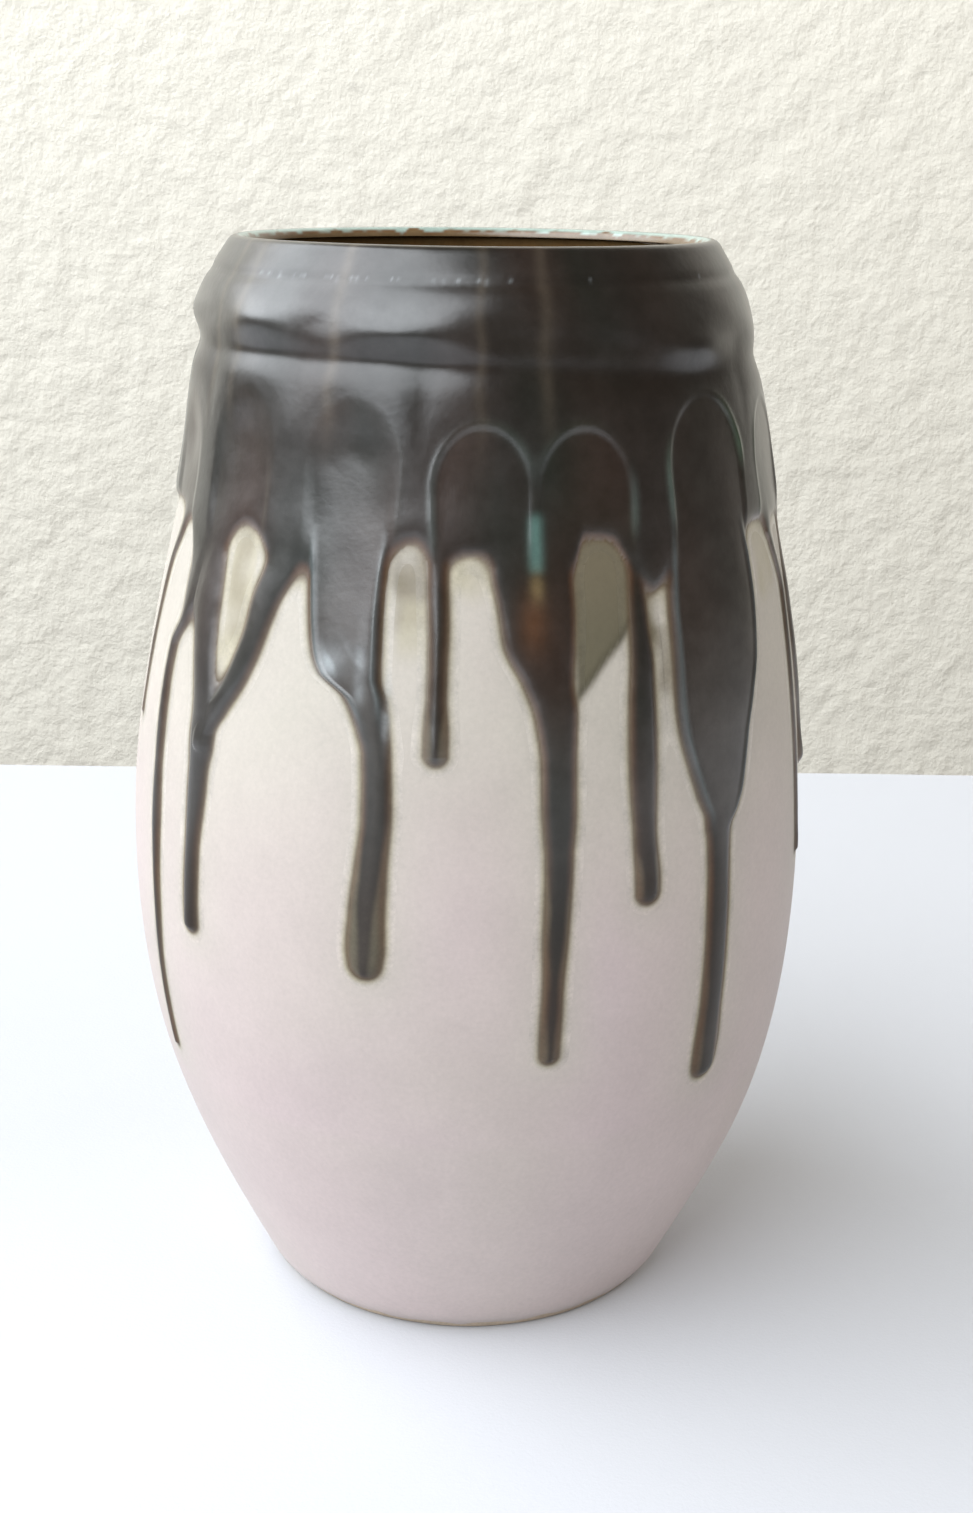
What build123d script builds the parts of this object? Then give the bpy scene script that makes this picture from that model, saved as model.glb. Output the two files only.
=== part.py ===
from build123d import *
import os

# Drip-glazed stoneware vase, in millimetres.
# Origin: centre of the foot's resting plane. +Z is up, the front of the vase faces -Y.
# Radii are those of the pale ground glaze's outer face, which every other layer follows.

# Overall form
height = 220.0
foot_radius = 43.7
foot_flare = 0.50           # outward slope of the wall where it leaves the foot
lower_radius = 65.1
lower_height = 50.0
belly_radius = 70.5
belly_height = 92.0
upper_radius = 66.6
upper_drop = 82.0           # drops are measured down from the lip
shoulder_radius = 59.0
shoulder_drop = 45.0

# Thrown roll under the collar
waist_radius = 54.5
waist_drop = 20.0
waist_lean = -0.17          # inward slope of the wall where it meets the roll
roll_radius = 54.5
roll_drop = 15.0
crease_radius = 51.1
crease_drop = 6.4
lip_radius = 49.2

# Clay
lip_wall = 2.5
neck_wall = 4.2
belly_wall = 5.0
lower_wall = 5.5
floor_thickness = 6.5
floor_corner = 10.0         # how far the flat floor stops short of the foot
floor_rise = 0.6            # upward slope of the inside where it leaves the floor
neck_lean = -0.25           # inward slope of the inside where it reaches the lip
recess_depth = 3.0
foot_ring_width = 7.0
foot_bevel = 0.8

# Glaze coats
ground_thickness = 0.5
shoulder_thickness = 0.7
run_thickness = 1.2
liner_thickness = 0.4
bare_foot_height = 1.5
glaze_line_drop = 54.0      # where the shoulder glaze breaks into runs
run_sector = 60.0           # degrees, wider than any one run

# Each run: angle round the vase from the front, length below the glaze line,
# stem width, depth of its funnel, funnel width at the glaze line
runs = [
    (-76, 40, 2.6, 20, 7),
    (-61, 107, 4.5, 20, 9),
    (-49, 76, 3.4, 42, 11),
    (-18, 76, 4.2, 38, 15),
    (-5.5, 35, 3.2, 6, 4.5),
    (13, 93, 4.6, 30, 12),
    (28, 63, 4.8, 12, 6),
    (43, 104, 4.2, 56, 20),
    (70, 68, 3.0, 25, 7),
    (84, 52, 3.0, 18, 8),
    (101, 88, 3.6, 30, 12),
    (118, 30, 3.0, 8, 6),
    (132, 70, 4.2, 36, 15),
    (150, 97, 4.0, 28, 11),
    (166, 44, 3.2, 10, 6),
    (180, 81, 4.6, 40, 17),
    (198, 58, 3.4, 20, 9),
    (213, 101, 3.8, 34, 13),
    (229, 36, 3.0, 9, 6),
    (243, 72, 4.2, 42, 16),
    (260, 90, 3.4, 26, 10),
]

# Heights that follow from the sizes above
lip_thickness = shoulder_thickness + ground_thickness + lip_wall + liner_thickness
lip_base = height - lip_thickness / 2
crease_height = height - crease_drop
roll_height = height - roll_drop
waist_height = height - waist_drop
shoulder_height = height - shoulder_drop
upper_height = height - upper_drop
glaze_line = height - glaze_line_drop
floor_height = recess_depth + floor_thickness
clay_lip_radius = lip_radius - ground_thickness


def at(radius, z):
    return (radius, 0, z)


# The wall's outer line from foot to lip, moved in or out by one layer's offset
def wall_line(offset):
    belly_points = [
        at(foot_radius + offset, 0),
        at(lower_radius + offset, lower_height),
        at(belly_radius + offset, belly_height),
        at(upper_radius + offset, upper_height),
        at(shoulder_radius + offset, shoulder_height),
        at(waist_radius + offset, waist_height),
    ]
    crease = at(crease_radius + offset, crease_height)
    belly = Spline(belly_points, tangents=[at(foot_flare, 1), at(waist_lean, 1)])
    roll = ThreePointArc(belly_points[-1], at(roll_radius + offset, roll_height), crease)
    collar = Line(crease, at(lip_radius + offset, lip_base))
    return [belly, roll, collar]


# The pot's inner line from the floor's edge to the lip, with a coat of given thickness on it
def inside_line(coat):
    clay_lip_inside = clay_lip_radius - lip_wall
    inside_points = [
        at(foot_radius - ground_thickness - floor_corner - coat, floor_height + coat),
        at(lower_radius - ground_thickness - lower_wall - coat, lower_height),
        at(belly_radius - ground_thickness - belly_wall - coat, belly_height),
        at(upper_radius - ground_thickness - belly_wall - coat, upper_height),
        at(shoulder_radius - ground_thickness - neck_wall - coat, shoulder_height),
        at(waist_radius - ground_thickness - neck_wall - coat, waist_height),
        at(clay_lip_inside - coat, lip_base),
    ]
    return Spline(inside_points, tangents=[at(1, floor_rise), at(neck_lean, 1)])


def turned(edges):
    return revolve(make_face(edges), Axis.Z)


def stoneware_body():
    clay = wall_line(-ground_thickness)
    inside = inside_line(0)
    lip = ThreePointArc(
        at(clay_lip_radius, lip_base),
        at(clay_lip_radius - lip_wall / 2, lip_base + lip_wall / 2),
        at(clay_lip_radius - lip_wall, lip_base),
    )
    ring_outside = foot_radius - ground_thickness
    ring_inside = ring_outside - foot_ring_width
    base = Polyline(
        inside @ 0,
        at(0, floor_height),
        at(0, recess_depth),
        at(ring_inside, recess_depth),
        at(ring_inside, 0),
        at(ring_outside, 0),
    )
    body = turned(clay + [lip, inside] + base.edges())
    resting_edges = body.edges().group_by(Axis.Z)[0]
    return chamfer(resting_edges, foot_bevel)


def liner_glaze():
    on_clay = inside_line(0)
    face_side = inside_line(liner_thickness)
    floor = Polyline(
        on_clay @ 0,
        at(0, floor_height),
        at(0, floor_height + liner_thickness),
        face_side @ 0,
    )
    top = Line(on_clay @ 1, face_side @ 1)
    return turned([on_clay, face_side, top] + floor.edges())


# A coat on the outside of the wall between two offsets
def outside_coat(inner, outer):
    inner_line = wall_line(inner)
    outer_line = wall_line(outer)
    bottom = Line(inner_line[0] @ 0, outer_line[0] @ 0)
    top = Line(inner_line[-1] @ 1, outer_line[-1] @ 1)
    return turned(inner_line + outer_line + [bottom, top])


# Everything above a height, wide enough to hold the whole vase
def above(z):
    reach = 2 * (belly_radius + run_thickness)
    return Pos(0, 0, z) * Box(2 * reach, 2 * reach, height, align=(Align.CENTER, Align.CENTER, Align.MIN))


def ground_glaze():
    return outside_coat(-ground_thickness, 0) & above(bare_foot_height)


# The dark coat over shoulder, roll, collar and lip, down to the glaze line
def shoulder_glaze():
    outer_line = wall_line(shoulder_thickness)
    inner_line = wall_line(0)
    outer_lip = at(lip_radius + shoulder_thickness, lip_base)
    inner_lip = at(lip_radius + shoulder_thickness - lip_thickness, lip_base)
    crown = at(lip_radius + shoulder_thickness - lip_thickness / 2, height)
    over_lip = ThreePointArc(outer_lip, crown, inner_lip)
    on_clay_lip = ThreePointArc(
        at(clay_lip_radius - lip_wall, lip_base),
        at(clay_lip_radius - lip_wall / 2, lip_base + lip_wall / 2),
        at(clay_lip_radius, lip_base),
    )
    over_liner = Line(inner_lip, on_clay_lip @ 0)
    over_ground = Line(on_clay_lip @ 1, at(lip_radius, lip_base))
    bottom = Line(inner_line[0] @ 0, outer_line[0] @ 0)
    edges = outer_line + inner_line + [over_lip, over_liner, on_clay_lip, over_ground, bottom]
    return turned(edges) & above(glaze_line)


# Front outline of one run: a funnel below the glaze line, a straight stem and a round end
def run_outline(length, stem_width, funnel_depth, funnel_width):
    stem = stem_width / 2
    funnel = funnel_width / 2
    stem_end = stem - length
    down = (0, -1)
    up = (0, 1)
    left_funnel = Spline((-funnel, 0), (-stem, -funnel_depth), tangents=[down, down])
    right_funnel = Spline((funnel, 0), (stem, -funnel_depth), tangents=[down, down])
    left_stem = Line((-stem, -funnel_depth), (-stem, stem_end))
    right_stem = Line((stem, -funnel_depth), (stem, stem_end))
    end = Spline((-stem, stem_end), (0, -length), (stem, stem_end), tangents=[down, up])
    top = Line((-funnel, 0), (funnel, 0))
    return make_face([left_funnel, left_stem, end, right_stem, right_funnel, top])


# A sector of the run-thick coat below the waist, centred on the front of the vase
def run_coat_sector():
    inner_line = wall_line(0)[0]
    outer_line = wall_line(run_thickness)[0]
    bottom = Line(inner_line @ 0, outer_line @ 0)
    top = Line(inner_line @ 1, outer_line @ 1)
    section = make_face([inner_line, outer_line, bottom, top])
    sector = revolve(section, Axis.Z, run_sector)
    return sector.rotate(Axis.Z, -90 - run_sector / 2)


# One run, cut from the sector at the front and then turned to its place round the vase
def glaze_run(sector, angle, length, stem_width, funnel_depth, funnel_width):
    facing = Plane(origin=(0, 0, glaze_line), x_dir=(1, 0, 0), z_dir=(0, -1, 0))
    outline = facing * run_outline(length, stem_width, funnel_depth, funnel_width)
    cutter = extrude(outline, 2 * belly_radius)
    run = sector & cutter
    return run.rotate(Axis.Z, angle)


def write(shape, node):
    shape.label = node
    export_step(shape, f"parts/{node}.step")


def main():
    os.makedirs("parts", exist_ok=True)
    write(stoneware_body(), "stoneware_body")
    write(liner_glaze(), "liner_glaze")
    write(ground_glaze(), "ground_glaze")
    write(shoulder_glaze(), "shoulder_glaze")
    sector = run_coat_sector()
    for number, run in enumerate(runs, start=1):
        write(glaze_run(sector, *run), f"glaze_run_{number:02d}")


main()
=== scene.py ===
import math
import bpy
import numpy as np
from mathutils import Matrix, Vector


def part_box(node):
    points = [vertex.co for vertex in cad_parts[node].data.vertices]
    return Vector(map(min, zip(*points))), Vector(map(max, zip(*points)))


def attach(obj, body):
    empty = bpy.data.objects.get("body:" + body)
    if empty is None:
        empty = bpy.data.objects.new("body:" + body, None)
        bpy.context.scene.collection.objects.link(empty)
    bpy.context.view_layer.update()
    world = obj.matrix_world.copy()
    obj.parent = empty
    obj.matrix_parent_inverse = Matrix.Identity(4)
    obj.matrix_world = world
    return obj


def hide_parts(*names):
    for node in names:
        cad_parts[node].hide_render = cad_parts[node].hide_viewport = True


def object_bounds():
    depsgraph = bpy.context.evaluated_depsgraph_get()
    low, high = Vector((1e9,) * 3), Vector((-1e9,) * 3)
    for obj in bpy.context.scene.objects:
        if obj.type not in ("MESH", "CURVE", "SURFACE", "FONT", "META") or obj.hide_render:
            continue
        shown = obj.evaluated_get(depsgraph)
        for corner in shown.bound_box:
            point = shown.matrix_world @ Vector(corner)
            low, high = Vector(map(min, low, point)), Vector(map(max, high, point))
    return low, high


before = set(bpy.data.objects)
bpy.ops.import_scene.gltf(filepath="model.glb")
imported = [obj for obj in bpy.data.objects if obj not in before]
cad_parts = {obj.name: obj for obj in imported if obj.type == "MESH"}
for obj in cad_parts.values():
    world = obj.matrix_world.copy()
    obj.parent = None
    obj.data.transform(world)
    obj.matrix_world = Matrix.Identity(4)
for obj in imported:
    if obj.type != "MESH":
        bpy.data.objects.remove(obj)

cadBox = [list(corner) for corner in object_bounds()]
mm = 0.001  # shapes are worked out in millimetres and stored in metres

# Angles go round the vase in degrees, 0 at the front and + to the right.
# Heights are in millimetres; above the lip's outer edge they run on as length over the lip.


def smoothStep(low, high, value):
    t = np.clip((value - low) / (high - low), 0.0, 1.0)
    return t * t * (3.0 - 2.0 * t)


def bell(distance, width):
    return np.exp(-(distance / width) ** 2)


# The larger of two edge distances with a rounded web where they meet, as wet glaze joins
def runTogether(a, b, web):
    share = np.clip(0.5 + 0.5 * (a - b) / web, 0.0, 1.0)
    return b + (a - b) * share + web * share * (1.0 - share)


# A smooth line through given (x, y) points that never overshoots them
def smoothLine(points):
    xs, ys = (np.array(part, float) for part in zip(*sorted(points)))
    width = np.diff(xs)
    rise = np.diff(ys) / width
    slope = np.zeros(len(xs))
    same = rise[:-1] * rise[1:] > 0
    slope[1:-1] = np.where(same, 2.0 * rise[:-1] * rise[1:] / np.where(same, rise[:-1] + rise[1:], 1), 0)

    def line(x):
        i = np.clip(np.searchsorted(xs, x) - 1, 0, len(width) - 1)
        t = np.clip((x - xs[i]) / width[i], 0.0, 1.0)
        smooth = t * t * (3 - 2 * t)
        bend = width[i] * (slope[i] * t * (1 - t) ** 2 - slope[i + 1] * t * t * (1 - t))
        return ys[i] * (1 - smooth) + ys[i + 1] * smooth + bend

    return line


def turnFrom(angle, centre):
    return (angle - centre + 180.0) % 360.0 - 180.0


# A place at a radius and a level, its turn round the vase in radians
def turned(radius, turn, level):
    return np.stack([radius * np.sin(turn), -radius * np.cos(turn), level + 0 * turn], -1)


# Evenly spaced angles once round
def onceRound(columns):
    return np.arange(columns) * 360.0 / columns


# Slow unevenness of a hand-made surface, seamless round the vase, about -1 to 1
def unevenness(seed, turns, heightScale, count=7):
    rng = np.random.default_rng(seed)
    waves = []
    for _ in range(count):
        waves.append((int(rng.integers(turns[0], turns[1] + 1)), rng.uniform(-1, 1) / heightScale,
                      rng.uniform(0, 2 * math.pi), rng.uniform(0.5, 1)))
    total = sum(wave[3] for wave in waves)

    def value(angle, height):
        out = 0.0
        for turn, rate, phase, size in waves:
            out = out + size * np.cos(np.radians(angle) * turn + height * rate * 2 * math.pi + phase)
        return out / total * 1.6

    return value


# Screen colour 0-255 to the linear colour that materials use
def tone(red, green, blue):
    value = np.array([red, green, blue]) / 255.0
    return np.where(value <= 0.04045, value / 12.92, ((value + 0.055) / 1.055) ** 2.4)


def mixTone(below, above, amount):
    return below + (above - below) * np.clip(amount, 0, 1)[..., None]


# A grid of points or tones as one list
def rows(grid):
    return grid.reshape(-1, 3)


def addObject(name, data):
    made = bpy.data.objects.new(name, data)
    bpy.context.scene.collection.objects.link(made)
    return made


# A CAD node's vertices in mm with their directions, radii, and share of direction that is outward
def nodePoints(name):
    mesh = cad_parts[name].data
    points = np.zeros(len(mesh.vertices) * 3)
    normals = np.zeros(len(mesh.vertices) * 3)
    mesh.vertices.foreach_get("co", points)
    mesh.vertices.foreach_get("normal", normals)
    points, normals = rows(points) / mm, rows(normals)
    radius = np.hypot(points[:, 0], points[:, 1])
    outward = (normals[:, :2] * points[:, :2]).sum(1) / np.maximum(radius, 0.01)
    return points, normals, radius, outward


# How the frame is read: which faces count as wall, inside and floor
reading = {
    "wallOutward": 0.5,
    "topMargin": 0.05,  # mm at the lip that is left out
    "insideOutward": -0.25,
    "floorUp": 0.6,
    "floorReach": 36,  # mm from the axis
    "middle": 100.0,  # height that the inside is swept round from
    "step": 0.1,  # mm between the wall's levels
    "corner": 2.1,  # mm of softening where the CAD wall turns sharply
}


# The wall's line as (heights, radii), read off the outer face of the CAD ground glaze
def wallFromFrame():
    points, _, radius, outward = nodePoints("ground_glaze")
    keep = (outward > reading["wallOutward"]) & (points[:, 2] < points[:, 2].max() - reading["topMargin"])
    cell = np.round(points[keep, 2], 1)
    levels = np.unique(cell)
    return levels, np.array([radius[keep][cell == z].max() for z in levels])


# The inside line as sweeps and reaches about a middle, from the lip down to the middle of the floor
def insideFromFrame():
    points, normals, radius, outward = nodePoints("liner_glaze")
    floor = (normals[:, 2] > reading["floorUp"]) & (radius < reading["floorReach"])
    keep = (outward < reading["insideOutward"]) | floor
    above = points[:, 2] - reading["middle"]
    cell = np.round(np.degrees(np.arctan2(radius, above))[keep], 1)
    reach = np.hypot(radius, above)[keep]
    sweeps = np.unique(cell)
    return sweeps, np.array([reach[cell == s].min() for s in sweeps])


wallLevels, wallRings = wallFromFrame()
vaseTop = cadBox[1][2] / mm
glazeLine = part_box("shoulder_glaze")[0].z / mm
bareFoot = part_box("ground_glaze")[0].z / mm
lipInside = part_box("liner_glaze")[1].z / mm
fineLevels = np.arange(-6.0, 240.0, reading["step"])


# The wall's radii at fine levels, carried on straight past both ends and softened
def extendedWall():
    rings = np.interp(fineLevels, wallLevels, wallRings)
    low, high = wallLevels < wallLevels[0] + 6, wallLevels > wallLevels[-1] - 3
    lowSlope, lowStart = np.polyfit(wallLevels[low], wallRings[low], 1)
    highSlope, highStart = np.polyfit(wallLevels[high], wallRings[high], 1)
    rings = np.where(fineLevels < wallLevels[0], lowStart + lowSlope * fineLevels, rings)
    rings = np.where(fineLevels > wallLevels[-1], highStart + highSlope * fineLevels, rings)
    span = 50
    softening = bell(np.arange(-span, span + 1) * reading["step"], reading["corner"])
    return np.convolve(np.pad(rings, span, mode="edge"), softening / softening.sum(), "valid")


fineRings = extendedWall()
print("wall read from the frame:", len(wallLevels), "rings up to", round(vaseTop, 2), "mm")


def wallRadius(height):
    return np.interp(height, fineLevels, fineRings)


coats = {"ground": 0.5, "liner": 0.4, "shoulder": 0.7, "lipRound": 2.05}  # thicknesses, mm

wall = {
    "lean": [(0, 0), (35, 0.2), (60, -0.3), (85, -0.7), (107, -0.8), (140, -0.2), (160, 0.2), (182, 0.6),
             (192, 0.25), (203, -0.1), (208, -0.55), (214, -0.65), (222, -0.5)],  # height, sideways lean
    "unevenness": 0.16,
    "rollHeights": [(-180, 205.5), (-90, 206), (-50, 206.6), (-15, 205.8), (20, 204.2), (48, 202.6),
                    (90, 204), (180, 205.5)],
    "rollLobes": [(-47, 11, 0.85), (-13, 13, 1.0), (20, 10, 0.2), (47, 11, 0.9), (76, 11, 0.45),
                  (103, 12, 0.9), (131, 13, 0.5), (160, 12, 0.95), (-170, 12, 0.6), (-141, 13, 1.0),
                  (-111, 12, 0.55), (-80, 11, 0.9)],  # angle, half width in degrees, strength
    "rollSwell": 1.35,
    "rollMean": 0.45,
    "rollReach": 2.7,
    "valleyDrop": 5.8,
    "valleyReach": 2.9,
    "valleyDepth": 0.95,
    "valleyEven": 0.3,  # share of the valley that runs all round
    "creaseHeight": 213.4,
    "creaseReach": 1.1,
    "creaseDepth": 0.3,
}
sideLean = smoothLine(wall["lean"])
rollHeight = smoothLine(wall["rollHeights"])
wallUneven = unevenness(3, (2, 7), 160)


def lobesAt(angle):
    return sum(size * bell(turnFrom(angle, at), width) for at, width, size in wall["rollLobes"])


# How far the wall stands out from true round: lean, unevenness and the lobed roll
def wallShift(angle, height):
    lobes = lobesAt(angle)
    centre = rollHeight(turnFrom(angle, 0))
    swell = wall["rollSwell"] * (lobes - wall["rollMean"]) * bell(height - centre, wall["rollReach"])
    inValley = bell(height - centre + wall["valleyDrop"], wall["valleyReach"])
    even = wall["valleyEven"]
    valley = wall["valleyDepth"] * (even + (1 - even) * lobes) * inValley
    crease = wall["creaseDepth"] * bell(height - wall["creaseHeight"], wall["creaseReach"])
    lean = sideLean(height) * np.sin(np.radians(angle))
    return lean + wall["unevenness"] * wallUneven(angle, height) + swell - valley - crease


lipLean = math.atan((wallRadius(vaseTop - 6) - wallRadius(vaseTop - 3)) / 3)
lipCore = coats["lipRound"] - coats["shoulder"]
lipStart = vaseTop - coats["lipRound"] + lipCore * math.sin(lipLean)
lipCentreRadius = wallRadius(lipStart) - lipCore * math.cos(lipLean)
lipCentreHeight = vaseTop - coats["lipRound"]


# A point on the outside, lift mm off the ground glaze, and on over the lip
def outside(angle, height, lift):
    slope = (wallRadius(height + 0.3) - wallRadius(height - 0.3)) / 0.6
    over = (height - lipStart) / coats["lipRound"] + lipLean
    onLip = height > lipStart
    tilt = np.where(onLip, over, np.arctan(-slope))
    radius = np.where(onLip, lipCentreRadius + lipCore * np.cos(over), wallRadius(height))
    level = np.where(onLip, lipCentreHeight + lipCore * np.sin(over), height)
    radius = radius + wallShift(angle, np.minimum(height, lipStart)) + lift * np.cos(tilt)
    level = level + lift * np.sin(tilt)
    return turned(radius, np.radians(angle), level)


def crossed(a, b):
    normal = np.cross(a, b)
    return normal / np.maximum(np.linalg.norm(normal, axis=-1, keepdims=True), 1e-9)


# Points and directions of the outside with a coat whose thickness is given by a function
def coated(angle, height, thickness):
    aside = 0.12  # mm either way, for measuring the direction
    turn = np.degrees(aside / 60.0)
    point = outside(angle, height, thickness(angle, height))
    right = outside(angle + turn, height, thickness(angle + turn, height))
    left = outside(angle - turn, height, thickness(angle - turn, height))
    up = outside(angle, height + aside, thickness(angle, height + aside))
    down = outside(angle, height - aside, thickness(angle, height - aside))
    return point, crossed(right - left, up - down)


# The same with an even coat
def evenlyCoated(angle, height, lift):
    return coated(angle, height, lambda a, h: lift + 0 * h)


# Runs: sway in degrees from the run's CAD angle and half width in mm, each by mm below the glaze line.
# height is its thickness, rim the ridge along its edges down to rimEnd, core the half width of its dark
# middle where the glaze round it has thinned.
runShapes = {
    "01": {"sway": [(-6, 10), (1, 7.6), (8, 3.9), (16, 2.2), (27, 0.8), (40, 0.2)],
           "half": [(-6, 2.6), (1, 1.6), (8, 1.3), (27, 1.1), (40, 1.0)], "height": 1.0},
    "02": {"sway": [(1, 4), (11, 3.5), (16, 2.3), (22, -0.9), (29, -1.5), (58, -0.3), (73, -0.4), (89, -1.1),
                    (105, -1.2)],
           "half": [(-4, 4.2), (1, 3.5), (11, 3), (16, 2), (22, 1.8), (58, 2), (73, 1.5), (97, 1.2),
                    (103, 1.2)], "height": 1.1},
    "03": {"sway": [(4, -3), (12, -3.1), (19, -1.9), (32, 0.3), (46, 0.6), (61, 0), (72, -0.4)],
           "half": [(0, 3.6), (6, 4.1), (12, 4.6), (19, 3.9), (32, 3.4), (46, 2.9), (61, 2.2), (70, 2.3)],
           "height": 1.15},
    "03branch": {"of": "03", "sway": [(1, 14.8), (9, 11.9), (16, 10.2), (24, 7.4), (31, 3.5), (36, 1)],
                 "half": [(-4, 5.2), (1, 4.3), (9, 3.5), (16, 3), (31, 3), (36, 2.5)], "end": 40,
                 "height": 1.1},
    "04": {"sway": [(2, -3.5), (8, -3.3), (16, -2.6), (20, -1.7), (24, 1.2), (29, 2.7), (34, 3.6), (45, 4),
                    (52, 3.5), (63, 2.8), (75, 2.5)],
           "half": [(-4, 8.2), (2, 7.8), (8, 7.5), (16, 6.9), (20, 6.1), (24, 4.1), (29, 3.1), (34, 2.6),
                    (45, 2.6), (52, 2.9), (63, 3.2), (70, 3.6), (74, 3.2)],
           "height": 0.95, "rim": 0.35, "rimEnd": 30,
           "core": [(36, 30), (46, 2.2), (60, 1.6), (70, 0.8), (75, 0.6)]},
    "05": {"sway": [(0, -0.2), (14, 0.2), (33, 0.2)],
           "half": [(-3, 2.4), (0, 2), (5, 1.9), (14, 1.7), (23, 1.7), (30, 2.1), (33, 2.1)], "height": 1.1,
           "core": [(16, 30), (26, 1.2), (33, 0.6)]},
    "06": {"sway": [(1, -3), (8, -2.3), (14, -2), (21, -0.7), (26, 0.3), (34, 0.6), (52, 0.6), (70, 0.1),
                    (90, -0.2)],
           "half": [(-4, 7.8), (1, 7.4), (8, 6.9), (14, 6.4), (21, 4.5), (26, 3.8), (34, 3.2), (45, 2.9),
                    (52, 2.5), (59, 2.4), (70, 2.1), (79, 1.9), (90, 1.8)], "height": 1.05,
           "core": [(44, 30), (56, 2.0), (70, 1.2), (80, 0.9), (93, 0.5)]},
    "07": {"sway": [(0, 0.3), (10, 0.3), (17, 0.5), (25, 0.1), (42, -0.3), (50, -0.2), (59, 0.3)],
           "half": [(-3, 2.2), (0, 1.6), (10, 1.9), (17, 2.4), (25, 2.7), (33, 2.9), (42, 2.7), (50, 2.3),
                    (59, 2.6)], "height": 1.1, "core": [(40, 30), (54, 1.8), (63, 1.1)]},
    "08": {"sway": [(-14, 4), (-6, 2.8), (3, 3.2), (11, 3), (20, 2.4), (28, 1.2), (35, 0.5), (48, 0.7),
                    (52, -0.2), (87, -0.1), (102, 0)],
           "half": [(-14, 11), (-6, 11.2), (3, 12.2), (11, 12.8), (20, 12.4), (28, 11.2), (35, 9.4),
                    (40.5, 7.9), (45, 6.5), (49, 4.6), (53, 3.2), (63, 3), (87, 3), (97, 3.4), (102, 3.2)],
           "height": 1.0, "rim": 0.4, "rimEnd": 52},
    "09": {"sway": [(0, -1), (2, 0), (13, 4.5), (26, 4), (35, 3.5), (56, 4), (68, 5)],
           "half": [(-3, 2.6), (2, 1.8), (13, 1.6), (68, 1.5)], "height": 1.0},
}
runLike = {"10": ("07", -1), "11": ("06", -1), "12": ("05", 1), "13": ("04", -1), "14": ("02", 1),
           "15": ("05", -1), "16": ("06", 1), "17": ("07", 1), "18": ("02", -1), "19": ("05", 1),
           "20": ("04", 1), "21": ("06", -1)}  # runs round the back: shaped like, sway side
plainCore = [(58, 30), (75, 2.4), (100, 1.5)]
runNumbers = [f"{number:02d}" for number in range(1, 22)]


# A run's angle and length below the glaze line, from its CAD node's lowest points
def runPlace(number):
    points = nodePoints("glaze_run_" + number)[0]
    low = points[points[:, 2] < points[:, 2].min() + 3.0]
    middle = low.mean(0)
    return math.degrees(math.atan2(middle[0], -middle[1])), glazeLine - points[:, 2].min()


def readRun(shape, owner, angle, end, stretch=1.0, side=1):
    return {
        "owner": owner, "angle": angle, "end": end, "height": shape["height"],
        "sway": smoothLine([(drop * stretch, side * sway) for drop, sway in shape["sway"]]),
        "half": smoothLine([(drop * stretch, half) for drop, half in shape["half"]]),
        "core": smoothLine([(drop * stretch, half) for drop, half in shape.get("core", plainCore)]),
        "rim": shape.get("rim", 0.0), "rimEnd": shape.get("rimEnd", 1.0) * stretch}


def readRuns():
    found = {}
    for number in runNumbers:
        angle, length = runPlace(number)
        likeName, side = runLike.get(number, (number, 1))
        stretch = length / runPlace(likeName)[1]
        found[number] = readRun(runShapes[likeName], number, angle, length, stretch, side)
    branch = runShapes["03branch"]
    found["03branch"] = readRun(branch, branch["of"], found[branch["of"]]["angle"], branch["end"])
    return found


runs = readRuns()
waver = unevenness(11, (9, 30), 22)


def acrossRun(run, angle, height):
    turn = turnFrom(angle, run["angle"]) - run["sway"](glazeLine - height)
    return np.radians(turn) * wallRadius(height)


# Distance inside one run's edge, mm; below zero outside it
def insideRun(run, angle, height):
    drop = glazeLine - height
    across = acrossRun(run, angle, height)
    crown = 0.7  # mm, rounds the middle of the run
    half = run["half"](drop) + 0.12 * waver(run["angle"], height * 1.7)
    side = np.hypot(half, crown) - np.hypot(across, crown)
    nose = run["half"](run["end"])
    below = drop - (run["end"] - nose)
    tip = nose - np.hypot(across, np.maximum(below, 0))
    return np.where(below > 0, np.minimum(side, tip), side)


# The lower edge of the dark coat between the runs, by angle
glazeEdge = {
    "heights": [(-180, 167), (-140, 168.5), (-110, 166), (-90, 168), (-73, 170), (-64, 168), (-58, 160),
                (-52, 164), (-43.5, 169.5), (-36, 166), (-29, 164.5), (-20, 166), (-10, 169.5), (-5, 168),
                (1, 167.5), (8, 168), (16.5, 166), (19, 170.5), (24, 169.5), (28, 165), (31.5, 160.5),
                (36, 164), (50, 166), (62, 169), (75, 168), (100, 166.5), (130, 168.5), (155, 166.5),
                (180, 167)],
    "web": 3.4,  # mm of rounding where a run leaves the coat
    "waver": 0.35,
    "nearby": 26,  # degrees past a stretch within which a run matters to it
    "wholeRound": 170,  # degrees from which every run matters
}
edgeHeight = smoothLine(glazeEdge["heights"])
edgeWaver = unevenness(23, (20, 60), 400)


def nearRuns(angle):
    low, high = np.min(angle), np.max(angle)
    if high - low > glazeEdge["wholeRound"]:
        return list(runs.values())
    middle = (low + high) / 2
    reach = (high - low) / 2 + glazeEdge["nearby"]
    return [run for run in runs.values() if abs(turnFrom(run["angle"], middle)) < reach]


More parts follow.
